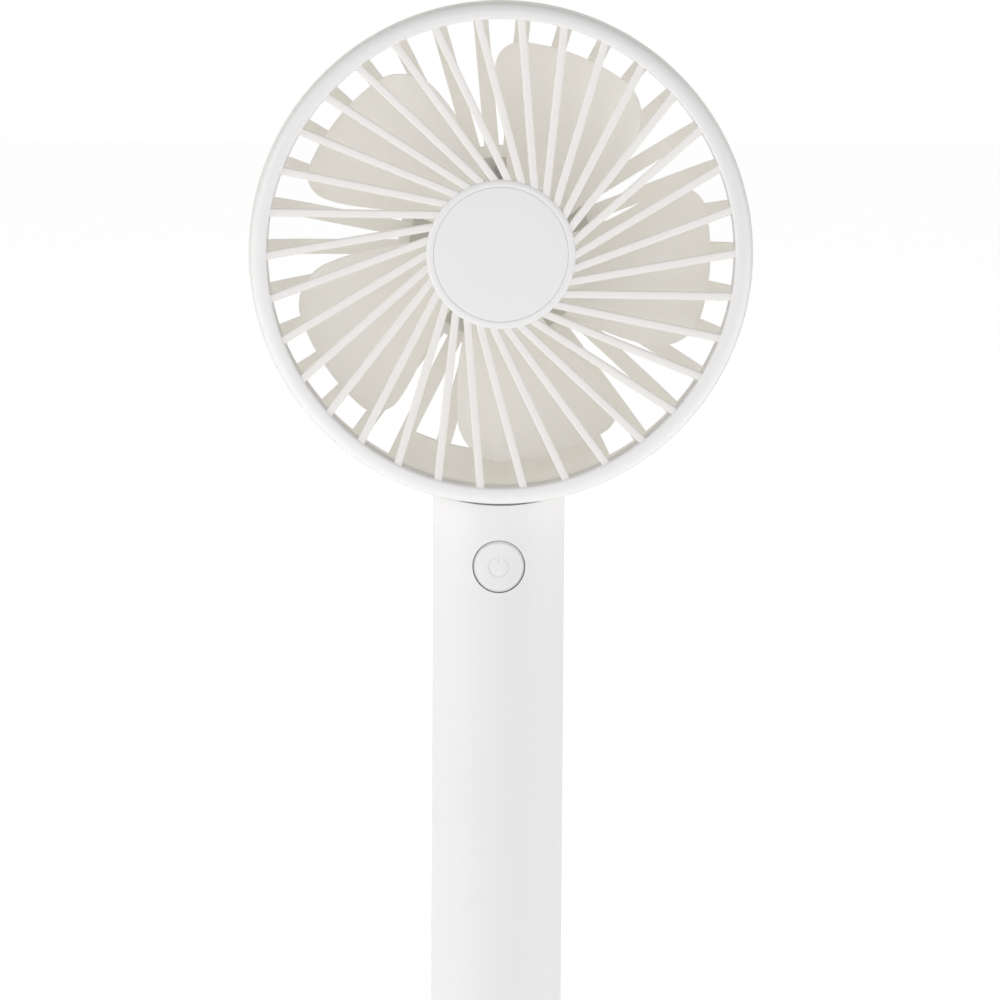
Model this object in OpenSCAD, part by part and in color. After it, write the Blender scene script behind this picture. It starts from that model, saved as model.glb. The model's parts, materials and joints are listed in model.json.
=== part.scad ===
// Handheld electric fan: a round head with a swirled front grille, a five-blade impeller
// on a small brushed motor, and a straight tubular handle with a cell and one button.
// Millimetres, +Z up, the front of the fan faces -Y, and the origin is at the centre of the base.

/* [Head] */
// Outer diameter of the rear housing's rim
head_d = 104; // [96:1:130]
// Depth of the head from the front face to the back
head_depth = 37; // [35:0.5:46]
// Wall of the rear housing
shell_wall = 1.9; // [1.6:0.1:2.4]
// Outside rounding between the rim and the back
back_corner_r = 12; // [8:0.5:14]
// Depth of the front ring, from its face to the seam with the housing
ring_depth = 7.5; // [6.5:0.5:9]
// How much smaller the front ring's radius is than the rim's
ring_step = 0.6; // [0.2:0.1:1]
// Width of the front ring's face
ring_face_w = 3.3; // [3:0.1:6]

/* [Grille ribs] */
// Number of ribs in the front grille, and in the rear housing
rib_count = 34; // [26:2:38]
// Width of a front rib
front_rib_w = 1.65; // [1:0.05:2]
// Depth of a front rib
front_rib_depth = 2.2; // [1.6:0.1:3.5]
// Distance at which a front rib's line passes the fan's axis
front_rib_offset = 7.9; // [0:0.1:11]
// How far the front ribs lie behind the face of the ring
front_rib_inset = 0.5; // [0.2:0.1:1]
// Width of a rear rib
rear_rib_w = 3.1; // [1.6:0.1:3.3]
// Radius of the closed middle of the rear housing
rear_hub_r = 21.6; // [21:0.1:26]
// Width of the band that closes the slots above the handle
closed_band_w = 9.1; // [7:0.1:12]

/* [Front disc] */
// Radius of the disc in the middle of the front grille
disc_r = 15.4; // [14:0.1:19]
// Radius of the cap that is let into the disc
cap_r = 13.8; // [11:0.1:14]
// Thickness of the disc
disc_t = 3.2; // [2.8:0.1:4]
// Thickness of the cap
cap_t = 1.2; // [1:0.1:1.4]

/* [Twist lock] */
// Number of lugs that hold the front grille
lug_count = 3; // [3:1:4]
// How far the lugs stand out of the grille's spigot
lug_height = 0.85; // [0.6:0.05:0.95]
// Width of a lug around the rim, in degrees
lug_span = 10; // [6:1:14]
// Turn that frees the front grille, in degrees
twist_angle = 12; // [10:1:20]

/* [Impeller] */
// Number of blades
blade_count = 5; // [3:1:5]
// Radius at the blade tips
blade_tip_r = 43.6; // [36:0.1:45]
// Thickness in the middle of a blade
blade_t = 1.5; // [1.1:0.1:2]
// Depth of a blade along the axis
blade_depth = 10.5; // [8:0.5:12]
// Outer radius of the impeller's hub
hub_r = 14.5; // [14.2:0.1:17]
// Wall of the impeller's hub
hub_wall = 1.4; // [1.2:0.1:1.8]
// Depth of the impeller's hub
hub_depth = 14.5; // [13:0.5:16]

/* [Motor] */
// Diameter of the motor's can
motor_d = 20.4; // [17:0.1:20.6]
// Length of the motor with its end cap
motor_len = 15.5; // [15:0.1:17]
// Diameter of the motor's shaft
shaft_d = 2; // [1.5:0.1:2.4]
// Wall of the motor mount
mount_wall = 1.5; // [1.2:0.1:1.7]

/* [Handle] */
// Outer diameter of the handle
handle_d = 27.4; // [27:0.1:34]
// Height of the head's lowest point above the ground
handle_len = 112; // [110:1:150]
// Wall of the handle's tube
handle_wall = 1.8; // [1.4:0.1:2]
// Height of the cap that closes the handle
base_h = 3; // [2.5:0.1:5]
// Rounding of the base's outer edge
base_round = 1.2; // [0.6:0.1:1.8]

/* [Power button] */
// Diameter of the button's cap
button_d = 10; // [8:0.1:12]
// Gap around the button's cap
button_gap = 0.45; // [0.2:0.05:0.6]
// How far the button's centre lies below the head's lowest point
button_drop = 12.7; // [12:0.1:16]
// Travel of the button
button_travel = 0.4; // [0.2:0.05:0.5]

/* [Battery] */
// Diameter of the battery cell
cell_d = 18.4; // [14:0.1:18.6]
// Length of the battery cell
cell_len = 65; // [50:1:66]

/* [Electronics] */
// Thickness of the circuit boards
board_t = 1.2; // [1:0.1:1.6]
// Width of the charging socket
socket_w = 8.94; // [7.5:0.01:9.2]
// Height of the charging socket
socket_h = 3.26; // [2.6:0.01:3.4]
// Depth of the charging socket
socket_len = 7.35; // [5:0.05:8]
// Diameter of the charge lamp
lamp_d = 3; // [2:0.1:3.2]
// Diameter of an insulated lead
lead_d = 1.1; // [0.8:0.1:1.2]

/* [Hidden] */
$fn = 96;

// Clearances
fit = 0.15;            // between two mouldings that slot together
running_fit = 0.02;    // between the shaft and its bushes, on the radius
press = 0.01;          // between a screw or pin and its hole, on the radius
cut = 1;               // how far a cutting shape runs past what it cuts
bite = 0.2;            // how deep a joined shape runs into its neighbour

// Colours
shell_white = [0.93, 0.92, 0.92];
blade_cream = [0.86, 0.85, 0.80];
steel = [0.70, 0.71, 0.73];
bronze = [0.72, 0.52, 0.30];
copper = [0.80, 0.45, 0.25];
dark_plastic = [0.15, 0.15, 0.16];
board_green = [0.10, 0.38, 0.22];
lead_red = [0.75, 0.12, 0.10];
lead_black = [0.10, 0.10, 0.11];

// Head: radii, and depths along the fan's axis with the front positive
rim_r = head_d / 2;
head_z = handle_len + rim_r;
front_z = head_depth / 2;
back_z = -head_depth / 2;
seam_z = front_z - ring_depth;
ring_r = rim_r - ring_step;
ring_in_r = ring_r - ring_face_w;
spigot_r = rim_r - shell_wall - fit;
spigot_depth = 3.5;
seam_gap = 0.3;
ring_round = 2.2;
ring_inner_round = 0.6;
floor_z = back_z + shell_wall;

// Ribs: the rear ribs lie half a pitch either side of straight down, and a front rib
// meets each rear rib at the ring
rib_pitch = 360 / rib_count;
rear_rib_start = rib_pitch / 2;
front_rib_turn = asin(front_rib_offset / (ring_in_r - 3));
rib_chamfer = 0.3;
cap_stem_r = 3;                               // stem that pins the cap to the disc
slot_out_r = rim_r - 2.7;
closed_band_r = rim_r - closed_band_w;
closed_slots = 5;
closed_half_angle = closed_slots * rib_pitch / 2;

// Channel for the motor's leads, in a thickened strip above the handle
lead_cover_t = 0.5;
strip_t = lead_d + 0.2 + lead_cover_t;
channel_w = 2 * lead_d + 0.6;
channel_front_z = 1.5;
lead_hole_y = 3.5;

// Twist lock
lug_z = seam_z - spigot_depth + 0.5;
lug_t = 1.6;
lug_clearance_deg = 0.8;

// Motor and its mount
motor_r = motor_d / 2;
shaft_r = shaft_d / 2;
can_wall = 0.6;
end_cap_t = 2;
motor_gap = 2.2;                              // room for the terminals behind the motor
motor_back_z = floor_z + motor_gap;
motor_front_z = motor_back_z + motor_len;
mount_in_r = motor_r + fit;
mount_out_r = mount_in_r + mount_wall;
mount_front_t = 1.5;
mount_front_z = motor_front_z + mount_front_t;
flange_t = 1.6;
boss_h = 3.6;
flange_z = floor_z + boss_h;
flange_r = rear_hub_r - 2.4;
mount_boss_r = 2.4;
mount_boss_at = (mount_out_r + flange_r) / 2 + 0.3;
mount_boss_angles = [90, 210, 330];
bush_r = 1.9;
can_boss_r = 3;
can_boss_h = 1.5;
motor_screw_at = 6.5;
screw_r = 1;
screw_head_r = 1.9;
screw_head_h = 1.2;
magnet_t = 1.6;
air_gap = 0.4;
magnet_z0 = motor_back_z + 4;
magnet_len = motor_len - 5.5;
magnet_span = 130;
core_r = motor_r - can_wall - magnet_t - air_gap;
core_len = magnet_len - 4;
core_z0 = magnet_z0 + 2;
core_hub_r = shaft_r + 1.4;
pole_count = 3;
pole_arm_w = 2;
pole_shoe_t = 1.1;
pole_shoe_span = 100;
coil_w = 1;
commutator_r = shaft_r + 1.1;
commutator_z0 = motor_back_z + end_cap_t + 0.7;
commutator_len = core_z0 - coil_w - commutator_z0 - 0.2;

// Impeller
blade_back_z = -4;
hub_back_z = blade_back_z;
hub_front_z = hub_back_z + hub_depth;
hub_round = 3;
hub_face_t = 1.6;
shaft_boss_r = shaft_r + 2.2;
shaft_boss_z0 = motor_front_z + can_boss_h + 0.8;
shaft_tip_z = hub_front_z - 1.2;
lead_edge_root = 4.7;                         // degrees clockwise from up at the hub
lead_edge_sweep = 6.7;
trail_edge_root = 62.2;
trail_edge_sweep = 16.5;
lead_corner_r = 6;
trail_corner_r = 7.5;
blade_edge_t = 0.6;
blade_steps_across = 14;
blade_steps_out = 9;
tip_arc = (trail_edge(1) - lead_edge(1)) * PI / 180 * blade_tip_r;

// Handle, with the plug at its top ending just above the button's flange
handle_r = handle_d / 2;
tube_in_r = handle_r - handle_wall;
plug_r = tube_in_r - fit;
neck_wall = 1.7;
neck_in_r = plug_r - neck_wall;
cap_plug_z1 = base_h + 5;
neck_screw_z = handle_len - 3.8;
neck_screw_angles = [50, 130];
neck_screw_len = 5.5;
seam_chamfer = 0.25;
saddle_gap = 0.03;                            // between the top of the tube and the rim
button_z = handle_len - button_drop;
button_r = button_d / 2;
button_flange_r = button_r + 1;
neck_z0 = button_z + button_flange_r + 0.2;

// Stack inside the handle
chassis_floor_z = cap_plug_z1 + 0.2;
chassis_floor_t = 1.5;
chassis_wall = 1.2;
charge_board_z = chassis_floor_z + chassis_floor_t + 1.3;
charge_board_top = charge_board_z + board_t;
lamp_z = charge_board_top + socket_h + lamp_d / 2 + 2;
bulkhead_t = 1.2;
lower_bulkhead_z = lamp_z + lamp_d / 2 + 1.4;
cell_gap = 0.8;
cell_z0 = lower_bulkhead_z + bulkhead_t + cell_gap;
cell_z1 = cell_z0 + cell_len;
cell_r = cell_d / 2;
tab_reach = 0.3;                              // how far the nickel strips stand off the cell
upper_bulkhead_z = cell_z1 + cell_gap;
chassis_top_z = neck_z0 - 0.5;
saddle_t = 1.5;

// Button, switch and control board
button_hole_r = button_r + button_gap;
button_flange_t = 0.9;
button_shoulder_r = button_hole_r - 0.15;
button_shoulder_depth = 0.5;                  // how deep the shoulder lies in the gap
button_flange_y = -sqrt(tube_in_r * tube_in_r - button_flange_r * button_flange_r) + 0.2;
button_post_r = 1.5;
plunger_r = 1.7;
plunger_h = 1;
switch_w = 6;
switch_h = 3.5;
icon_r = 1.7;
icon_w = 0.35;
icon_depth = 0.15;
icon_gap_deg = 34;
plunger_y = button_flange_y + button_flange_t + 0.9;   // front face of the plunger
switch_y = plunger_y + plunger_h;                      // front face of the switch
board_y = switch_y + switch_h;                         // front face of the control board
board_w = 2 * sqrt(neck_in_r * neck_in_r - board_y * board_y) - 1.2;
board_z0 = upper_bulkhead_z + bulkhead_t + 0.4;
board_h = button_z - board_z0 + 7.6;
deck_t = 1.3;
deck_y = board_y + board_t;
board_screw_x = board_w / 2 - 2.4;
board_screw_z = board_z0 + 2.2;
small_screw_r = 0.8;
small_head_r = 1.5;
small_head_h = 0.9;

// Charging socket
socket_back_y = tube_in_r - 6.1;
socket_z = charge_board_top + socket_h / 2;
socket_wall = 0.3;
port_clearance = 0.3;

// Bottom screw
bottom_screw_r = 1.25;
bottom_head_r = 2.4;
bottom_head_h = 1.6;
bottom_screw_len = 8;
bottom_boss_r = 2.8;

// Leads
lead_r = lead_d / 2;
lead_sides = 8;
bend_steps = 4;
side_r = (cell_r + tube_in_r) / 2;            // radius at which leads run past the cell
return_angle = 53;
channel_mid = shell_wall + (strip_t - lead_cover_t) / 2;
lead_x = lead_r + 0.05;
board_lead_y = board_y - lead_r - 0.02;       // leads lie on the front of the control board
tab_lead_y = -cell_r - tab_reach - lead_r - 0.02;
supply_angle = asin((0.11 - board_lead_y) / side_r);   // level with the front of the board

// ---------------------------------------------------------------- placing

// The head is drawn with its axis along Z and its front up, then stood at its height
module at_head() {
    translate([0, 0, head_z]) rotate([90, 0, 0]) children();
}

// A copy at each step around the axis
module around(count, start = 0) {
    for (k = [0:count - 1]) rotate([0, 0, start + k * 360 / count]) children();
}

// A cylinder between two heights
module rod(r, z0, z1) {
    translate([0, 0, z0]) cylinder(r = r, h = z1 - z0);
}

// A hollow cylinder between two heights
module sleeve(r_in, r_out, z0, z1) {
    difference() {
        rod(r_out, z0, z1);
        rod(r_in, z0 - cut, z1 + cut);
    }
}

// Part of a hollow cylinder, from one angle to another
module sleeve_sector(r_in, r_out, z0, z1, a0, a1) {
    rotate([0, 0, a0]) rotate_extrude(angle = a1 - a0)
        translate([r_in, z0]) square([r_out - r_in, z1 - z0]);
}

// A cylinder along Y between two places
module rod_y(r, y0, y1) {
    translate([0, y0, 0]) rotate([-90, 0, 0]) cylinder(r = r, h = y1 - y0);
}

// ---------------------------------------------------------------- head mouldings

// Half section of the rear housing's outline, drawn in all round by an inset
module bowl_half(inset, top) {
    r = rim_r - inset;
    back = back_z + inset;
    corner = back_corner_r - inset;
    translate([0, back + corner]) square([r, top - back - corner]);
    translate([0, back]) square([r - corner, corner + bite]);
    translate([r - corner, back + corner]) circle(r = corner);
}

module bowl(inset, top) {
    rotate_extrude() bowl_half(inset, top);
}

// Wedge that opens downwards from the fan's axis
module downward_wedge(half_angle) {
    reach = rim_r / cos(half_angle);
    polygon([
        [0, 0],
        [-reach * sin(half_angle), -reach * cos(half_angle)],
        [reach * sin(half_angle), -reach * cos(half_angle)],
    ]);
}

// Closed band above the handle, and the closed slot that carries the leads
module closed_band() {
    difference() {
        downward_wedge(closed_half_angle);
        circle(r = closed_band_r);
    }
}

module closed_slot() {
    difference() {
        downward_wedge(rib_pitch / 2);
        circle(r = rear_hub_r - bite);
    }
}

module rear_slots() {
    difference() {
        circle(r = slot_out_r);
        circle(r = rear_hub_r);
        for (k = [0:rib_count - 1]) rotate(rear_rib_start + k * rib_pitch)
            translate([-rear_rib_w / 2, 0]) square([rear_rib_w, rim_r]);
        closed_band();
        closed_slot();
    }
}

// Thickened strip inside the housing that hides the leads
module lead_strip() {
    intersection() {
        difference() {
            bowl(shell_wall - bite, channel_front_z);
            bowl(shell_wall + strip_t, channel_front_z + cut);
        }
        translate([0, 0, back_z]) linear_extrude(height = channel_front_z - back_z) {
            closed_band();
            closed_slot();
        }
    }
}

// Space between two insets of the bowl, in a parallel strip from the hub to the rim
module channel_space(inset_out, inset_in, width, front, r_in) {
    intersection() {
        difference() {
            bowl(inset_out, front);
            bowl(inset_in, front + cut);
        }
        translate([-width / 2, -rim_r, back_z]) cube([width, rim_r - r_in, front - back_z]);
    }
}

// A groove for each lug to turn in, and a slightly wider way in from the front at its end
module lock_grooves() {
    half = lug_span / 2 + lug_clearance_deg;
    r0 = spigot_r - cut;
    r1 = spigot_r + lug_height + fit;
    z0 = lug_z - fit;
    z1 = lug_z + lug_t + fit;
    entry_half = half + 0.4;
    around(lug_count, 90) {
        sleeve_sector(r0, r1, z0, z1, -half, twist_angle + half);
        sleeve_sector(r0 - 0.1, r1 + 0.05, z0 - 0.05, seam_z + cut,
            twist_angle - entry_half, twist_angle + entry_half);
    }
}

// Neck: a fairing that carries the rim down to the handle, and a plug that enters its tube
module neck_fairing() {
    intersection() {
        rod(handle_r, handle_len - cut, head_z);
        at_head() difference() {
            rod(rim_r, -handle_r - cut, seam_z);
            bowl(shell_wall, seam_z + cut);
        }
    }
}

module neck_plug() {
    difference() {
        rod(plug_r, neck_z0, handle_len + 2);
        rod(neck_in_r, neck_z0 - cut, handle_len + 2 + cut);
        at_head() rod(rim_r - bite, -handle_d, handle_d);
    }
    for (a = neck_screw_angles) rotate([0, 0, a]) intersection() {
        translate([plug_r - 5, 0, neck_screw_z]) rotate([0, 90, 0]) rod(2.3, 0, 5);
        rod(plug_r, neck_z0 + bite, handle_len);
    }
}

module neck_screw_place() {
    for (a = neck_screw_angles) rotate([0, 0, a])
        translate([handle_r - 0.3, 0, neck_screw_z]) rotate([0, -90, 0]) children();
}

module rear_housing() {
    color(shell_white) difference() {
        union() {
            at_head() {
                difference() {
                    bowl(0, seam_z);
                    bowl(shell_wall, seam_z + cut);
                }
                lead_strip();
                for (a = mount_boss_angles) rotate([0, 0, a])
                    translate([mount_boss_at, 0, 0]) rod(mount_boss_r, floor_z - bite, flange_z);
            }
            neck_fairing();
            neck_plug();
        }
        at_head() {
            translate([0, 0, back_z - cut])
                linear_extrude(height = back_corner_r - 1 + cut) rear_slots();
            channel_space(shell_wall, shell_wall + strip_t + cut, channel_w, channel_front_z - 1.5, 0);
            for (a = mount_boss_angles) rotate([0, 0, a])
                translate([mount_boss_at, 0, 0]) rod(screw_r + press, flange_z - 3, flange_z + cut);
            lock_grooves();
        }
        // Way through the rim for the leads
        translate([-channel_w / 2, lead_hole_y - 2, handle_len - cut])
            cube([channel_w, 3.5, shell_wall + cut + 0.5]);
        neck_screw_place() rod(screw_r + press, 0, neck_screw_len + 1);
    }
}

module lead_cover() {
    width = channel_w - 2 * press;
    color(shell_white) at_head()
        channel_space(
            shell_wall + strip_t - lead_cover_t, shell_wall + strip_t,
            width, channel_front_z - 1.5 - press, rear_hub_r - 0.5
        );
}

// Section of the front ring and of the spigot that enters the housing
module ring_half() {
    translate([ring_in_r, seam_z + seam_gap])
        square([ring_r - ring_in_r, ring_depth - seam_gap - ring_round]);
    translate([ring_in_r + ring_inner_round, seam_z + seam_gap])
        square([ring_r - ring_in_r - ring_round - ring_inner_round, ring_depth - seam_gap]);
    translate([ring_r - ring_round, front_z - ring_round]) circle(r = ring_round);
    translate([ring_in_r, seam_z])
        square([2 * ring_inner_round, ring_depth - ring_inner_round]);
    translate([ring_in_r + ring_inner_round, front_z - ring_inner_round])
        circle(r = ring_inner_round);
    translate([ring_in_r, seam_z - spigot_depth])
        square([spigot_r - ring_in_r, spigot_depth + seam_gap + bite]);
}

module front_rib() {
    top = front_z - front_rib_inset;
    y0 = sqrt(pow(disc_r - bite * 2, 2) - pow(front_rib_offset, 2));
    y1 = sqrt(pow(ring_in_r + 1, 2) - pow(front_rib_offset, 2));
    half = front_rib_w / 2;
    translate([front_rib_offset, y0, 0]) rotate([-90, 0, 0]) mirror([0, 1, 0])
        linear_extrude(height = y1 - y0) polygon([
            [-half + rib_chamfer / 2, top - front_rib_depth],
            [half - rib_chamfer / 2, top - front_rib_depth],
            [half, top - rib_chamfer],
            [half - rib_chamfer, top],
            [-half + rib_chamfer, top],
            [-half, top - rib_chamfer],
        ]);
}

module front_grille() {
    color(shell_white) at_head() difference() {
        union() {
            rotate_extrude() ring_half();
            around(lug_count, 90)
                sleeve_sector(
                    spigot_r - bite, spigot_r + lug_height, lug_z, lug_z + lug_t,
                    -lug_span / 2, lug_span / 2
                );
            around(rib_count, front_rib_turn - rear_rib_start) front_rib();
            rotate_extrude() disc_half(disc_r, disc_t, 1);
        }
        rod(cap_r + press, front_z - cap_t, front_z + cut);
        rod(cap_stem_r, front_z - disc_t - cut, front_z);
    }
}

// Half section of a disc whose front edge is rounded
module disc_half(r, t, round_r) {
    translate([0, front_z - t]) square([r, t - round_r]);
    translate([0, front_z - round_r - bite]) square([r - round_r, round_r + bite]);
    translate([r - round_r, front_z - round_r]) circle(r = round_r);
}

module hub_cap() {
    color(shell_white) at_head() {
        rotate_extrude() disc_half(cap_r, cap_t, 0.3);
        sleeve(cap_stem_r - 1.2, cap_stem_r - press, front_z - disc_t, front_z - cap_t + bite);
    }
}

// ---------------------------------------------------------------- impeller

function smooth_step(x) = x <= 0 ? 0 : x >= 1 ? 1 : x * x * (3 - 2 * x);

// Angles of the two edges, clockwise from up, at a fraction of the way out along the blade
function lead_edge(t) = lead_edge_root - lead_edge_sweep * smooth_step(t / 0.75);
function trail_edge(t) = trail_edge_root - trail_edge_sweep * t;

// How far a rounded corner takes the tip in, at a distance from the blade's edge
function corner_drop(x, r) = x >= r ? 0 : r - sqrt(r * r - (r - x) * (r - x));

function tip_radius(u) = blade_tip_r
    - corner_drop(u * tip_arc, lead_corner_r)
    - corner_drop((1 - u) * tip_arc, trail_corner_r);

// One point of the blade: u runs from the leading edge to the trailing edge, v runs out along
// the blade, and side is 1 on the front surface and -1 on the back
function blade_point(u, v, side) =
    let (
        root_r = hub_r - hub_wall / 2,
        r = root_r + v * (tip_radius(u) - root_r),
        t = (r - root_r) / (blade_tip_r - root_r),
        a = 90 - lead_edge(t) - u * (trail_edge(t) - lead_edge(t)),
        camber = 0.9 * sin(180 * u),
        z = blade_back_z + blade_edge_t + (blade_depth - 2 * blade_edge_t) * u + camber,
        thick = blade_edge_t + (blade_t - blade_edge_t) * sin(180 * u) * (1 - 0.4 * t)
    )
    [r * cos(a), r * sin(a), z + side * thick / 2];

module blade() {
    nu = blade_steps_across;
    nv = blade_steps_out;
    row = nv + 1;
    layer = (nu + 1) * row;
    us = [for (i = [0:nu]) (1 - cos(180 * i / nu)) / 2];
    points = [
        for (side = [1, -1]) for (u = us) for (j = [0:nv]) blade_point(u, j / nv, side)
    ];
    // Corners of each small face, on the front surface and then on the back
    front = [for (i = [0:nu - 1]) for (j = [0:nv - 1])
        [i * row + j, (i + 1) * row + j, (i + 1) * row + j + 1, i * row + j + 1]];
    back = [for (q = front) [q[3] + layer, q[2] + layer, q[1] + layer, q[0] + layer]];
    lead_side = [for (j = [0:nv - 1]) [j, j + 1, j + 1 + layer, j + layer]];
    trail_side = [for (j = [0:nv - 1])
        [nu * row + j + 1, nu * row + j, nu * row + j + layer, nu * row + j + 1 + layer]];
    root_side = [for (i = [0:nu - 1])
        [(i + 1) * row, i * row, i * row + layer, (i + 1) * row + layer]];
    tip_side = [for (i = [0:nu - 1])
        [i * row + nv, (i + 1) * row + nv, (i + 1) * row + nv + layer, i * row + nv + layer]];
    quads = concat(front, back, lead_side, trail_side, root_side, tip_side);
    triangles = [for (q = quads) for (f = [[q[0], q[2], q[1]], [q[0], q[3], q[2]]]) f];
    polyhedron(points = points, faces = triangles);
}

module impeller() {
    color(blade_cream) at_head() {
        difference() {
            union() {
                rotate_extrude() {
                    translate([0, hub_back_z]) square([hub_r, hub_depth - hub_round]);
                    translate([0, hub_front_z - hub_round - bite])
                        square([hub_r - hub_round, hub_round + bite]);
                    translate([hub_r - hub_round, hub_front_z - hub_round]) circle(r = hub_round);
                }
                around(blade_count) blade();
            }
            difference() {
                union() {
                    rod(hub_r - hub_wall, hub_back_z - cut, hub_front_z - hub_round - bite);
                    rod(hub_r - hub_round, 0, hub_front_z - hub_face_t);
                }
                rod(shaft_boss_r, shaft_boss_z0, hub_front_z);
            }
            rod(shaft_r + press, shaft_boss_z0 - cut, shaft_tip_z);
        }
    }
}

// ---------------------------------------------------------------- motor

module mount_screw_holes(r, z0, z1) {
    for (a = mount_boss_angles) rotate([0, 0, a]) translate([mount_boss_at, 0, 0]) rod(r, z0, z1);
}

module motor_screw_places() {
    for (x = [-motor_screw_at, motor_screw_at]) translate([x, 0, 0]) children();
}

module motor_mount() {
    color(shell_white) at_head() difference() {
        union() {
            rod(flange_r, flange_z, flange_z + flange_t);
            rod(mount_out_r, flange_z, mount_front_z);
        }
        rod(mount_in_r, flange_z - cut, motor_front_z);
        rod(can_boss_r + fit, motor_front_z - bite, mount_front_z + cut);
        mount_screw_holes(screw_r + press, flange_z - cut, flange_z + flange_t + cut);
        motor_screw_places() rod(screw_r + press, motor_front_z - bite, mount_front_z + cut);
    }
}

// Pan-head screw that points down from z
module screw(z, length) {
    rod(screw_r, z - length, z + bite);
    difference() {
        rod(screw_head_r, z, z + screw_head_h);
        for (a = [0, 90]) rotate([0, 0, a])
            translate([-screw_head_r * 0.6, -0.25, z + screw_head_h * 0.5])
                cube([screw_head_r * 1.2, 0.5, screw_head_h]);
    }
}

module mount_screws() {
    color(steel) at_head() for (a = mount_boss_angles) rotate([0, 0, a])
        translate([mount_boss_at, 0, 0]) screw(flange_z + flange_t, flange_t + 2.8);
}

module motor_screws() {
    color(steel) at_head() motor_screw_places() screw(mount_front_z, mount_front_t + can_wall + 0.3);
}

module motor_can() {
    color(steel) at_head() difference() {
        union() {
            rod(motor_r, motor_back_z + end_cap_t, motor_front_z);
            rod(can_boss_r, motor_front_z - bite, motor_front_z + can_boss_h);
        }
        rod(motor_r - can_wall, motor_back_z, motor_front_z - can_wall);
        rod(bush_r + press, motor_front_z - can_wall - cut, motor_front_z + can_boss_h - 0.3);
        rod(shaft_r + fit, motor_front_z, motor_front_z + can_boss_h + cut);
        motor_screw_places() rod(screw_r + press, motor_front_z - can_wall - cut, motor_front_z + cut);
    }
}

module motor_end_cap() {
    color(dark_plastic) at_head() difference() {
        union() {
            rod(motor_r, motor_back_z, motor_back_z + end_cap_t);
            sleeve(motor_r - can_wall - 1, motor_r - can_wall - press,
                motor_back_z + end_cap_t - bite, motor_back_z + end_cap_t + 1);
        }
        rod(bush_r + press, motor_back_z + 0.4, motor_back_z + end_cap_t + cut);
        terminal_places() cube([2.02, 0.42, 3 * end_cap_t], center = true);
    }
}

module motor_magnets() {
    r1 = motor_r - can_wall - press;
    color([0.25, 0.25, 0.27]) at_head() for (a = [90, 270])
        sleeve_sector(r1 - magnet_t, r1, magnet_z0, magnet_z0 + magnet_len,
            a - magnet_span / 2, a + magnet_span / 2);
}

module front_bush() {
    color(bronze) at_head() sleeve(shaft_r + running_fit, bush_r,
        motor_front_z - can_wall - 0.3, motor_front_z + can_boss_h - 0.3 - press);
}

module rear_bush() {
    color(bronze) at_head() sleeve(shaft_r + running_fit, bush_r,
        motor_back_z + 0.4 + press, motor_back_z + end_cap_t + 0.3);
}

// Places of the two terminals on the back of the motor
module terminal_places() {
    for (s = [-1, 1]) translate([s * 3.8, -5.5, motor_back_z]) children();
}

module motor_terminals() {
    color(bronze) at_head() terminal_places() translate([0, 0, 0.3]) cube([2, 0.4, 3.2], center = true);
}

// Leaf springs with carbon blocks that bear on the commutator
module motor_brushes() {
    z = commutator_z0 + commutator_len / 2;
    h = commutator_len - 0.6;
    color(copper) at_head() for (m = [0, 1]) mirror([m, 0, 0]) {
        translate([commutator_r + 0.05, -0.6, z - h / 2]) cube([1, 1.2, h]);
        translate([commutator_r + 1, -0.9, z - h / 2]) cube([0.2, 5.5, h]);
        translate([commutator_r + 1, 4.4, motor_back_z + end_cap_t])
            cube([0.2, 0.2, z + h / 2 - motor_back_z - end_cap_t]);
    }
}

module motor_shaft() {
    color(steel) at_head() rod(shaft_r, motor_back_z + 0.5, shaft_tip_z - press);
}

module armature_core() {
    color([0.45, 0.46, 0.48]) at_head() difference() {
        union() {
            rod(core_hub_r, core_z0, core_z0 + core_len);
            around(pole_count, 90) {
                translate([0, -pole_arm_w / 2, core_z0])
                    cube([core_r - pole_shoe_t / 2, pole_arm_w, core_len]);
                sleeve_sector(core_r - pole_shoe_t, core_r, core_z0, core_z0 + core_len,
                    -pole_shoe_span / 2, pole_shoe_span / 2);
            }
        }
        rod(shaft_r, core_z0 - cut, core_z0 + core_len + cut);
    }
}

module armature_windings() {
    color(copper) at_head() around(pole_count, 90) {
        x0 = core_hub_r + 0.3;
        x1 = sqrt(pow(core_r - pole_shoe_t, 2) - pow(pole_arm_w / 2 + coil_w, 2)) - 0.1;
        translate([x0, 0, core_z0 + core_len / 2]) difference() {
            translate([0, -pole_arm_w / 2 - coil_w, -core_len / 2 - coil_w])
                cube([x1 - x0, pole_arm_w + 2 * coil_w, core_len + 2 * coil_w]);
            translate([-cut, -pole_arm_w / 2, -core_len / 2])
                cube([x1 - x0 + 2 * cut, pole_arm_w, core_len]);
        }
    }
}

module commutator() {
    z1 = commutator_z0 + commutator_len;
    color(copper) at_head() difference() {
        sleeve(shaft_r, commutator_r, commutator_z0, z1);
        around(pole_count, 30) translate([shaft_r + 0.4, -0.1, commutator_z0 - cut])
            cube([commutator_r, 0.2, commutator_len + 2 * cut]);
    }
}

// ---------------------------------------------------------------- handle

// Outline with round ends, for the charging socket and its opening
module port_outline(grow) {
    h = socket_h + 2 * grow;
    w = socket_w + 2 * grow;
    square([w - h, h], center = true);
    for (s = [-1, 1]) translate([s * (w - h) / 2, 0]) circle(r = h / 2);
}

// A shape that lies along Y at the charging socket, from y0 to y1
module along_port(y0, y1) {
    translate([0, y1, socket_z]) rotate([90, 0, 0]) linear_extrude(height = y1 - y0) children();
}

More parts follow.
